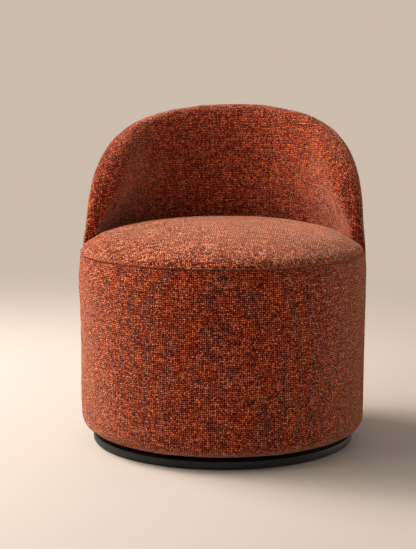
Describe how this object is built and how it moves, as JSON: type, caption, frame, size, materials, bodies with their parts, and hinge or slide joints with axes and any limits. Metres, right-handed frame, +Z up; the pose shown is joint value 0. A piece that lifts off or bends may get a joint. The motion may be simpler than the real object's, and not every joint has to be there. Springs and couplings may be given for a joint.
{
  "type": "armless swivel chair",
  "caption": "Armless swivel chair: a round upholstered drum seat with a crowned top and a low wrap-around padded back, turning on a round black plinth.",
  "frame": {"origin": "on the floor, on the swivel's vertical axis, under the middle of the chair", "axes": "+Z up, the seat's front faces -Y, and the chair's left, as seen from its front, is -X"},
  "size_m": [0.6206, 0.6215, 0.7221],
  "materials": {
    "cover_fabric": "matte",
    "plinth": "satin",
    "glide": "matte",
    "bearing_steel": "satin",
    "nylon": "satin",
    "frame_wood": "matte",
    "fibreboard": "matte",
    "hoop_steel": "satin",
    "webbing": "matte"
  },
  "bodies": {
    "base": {"floor_glide_1": "glide", "floor_glide_2": "glide", "floor_glide_3": "glide", "floor_glide_4": "glide", "floor_glide_5": "glide", "floor_glide_6": "glide", "floor_glide_7": "glide", "floor_glide_8": "glide", "plinth_disc": "plinth", "lower_swivel_plate": "bearing_steel", "lower_plate_screw_1": "bearing_steel", "lower_plate_screw_2": "bearing_steel", "lower_plate_screw_3": "bearing_steel", "lower_plate_screw_4": "bearing_steel", "pivot_bolt": "bearing_steel", "pivot_washer": "nylon", "pivot_nut": "bearing_steel"},
    "bearing_cage": {"ball_cage": "nylon"},
    "chair_body": {"upper_swivel_plate": "bearing_steel", "upper_plate_screw_1": "bearing_steel", "upper_plate_screw_2": "bearing_steel", "upper_plate_screw_3": "bearing_steel", "upper_plate_screw_4": "bearing_steel", "base_board": "frame_wood", "post_1": "frame_wood", "post_2": "frame_wood", "post_3": "frame_wood", "post_4": "frame_wood", "post_5": "frame_wood", "post_6": "frame_wood", "seat_ring": "frame_wood", "hoop_foot_left": "hoop_steel", "hoop_foot_right": "hoop_steel", "back_hoop": "hoop_steel", "back_rib_1": "frame_wood", "back_rib_2": "frame_wood", "back_rib_3": "frame_wood", "back_rib_4": "frame_wood", "back_rib_5": "frame_wood", "back_panel": "fibreboard", "front_panel": "fibreboard", "lengthwise_strap_1": "webbing", "lengthwise_strap_2": "webbing", "lengthwise_strap_3": "webbing", "crosswise_strap_1": "webbing", "crosswise_strap_2": "webbing", "crosswise_strap_3": "webbing", "dust_cover": "webbing", "front_band": "cover_fabric", "outer_back_wrap": "cover_fabric", "inner_back_pad": "cover_fabric", "seat_cushion": "cover_fabric", "seat_welt": "cover_fabric"}
  },
  "joints": [
    {"name": "swivel", "type": "hinge", "parent": "base", "child": "chair_body", "pos_m": [0, 0, 0.0248], "axis": [0, 0, 1], "continuous": true},
    {"name": "ball_cage_spin", "type": "hinge", "parent": "base", "child": "bearing_cage", "pos_m": [0, 0, 0.0248], "axis": [0, 0, 1], "continuous": true}
  ],
  "couplings": [
    {"joint": "ball_cage_spin", "follows": "swivel", "ratio": 0.5}
  ]
}
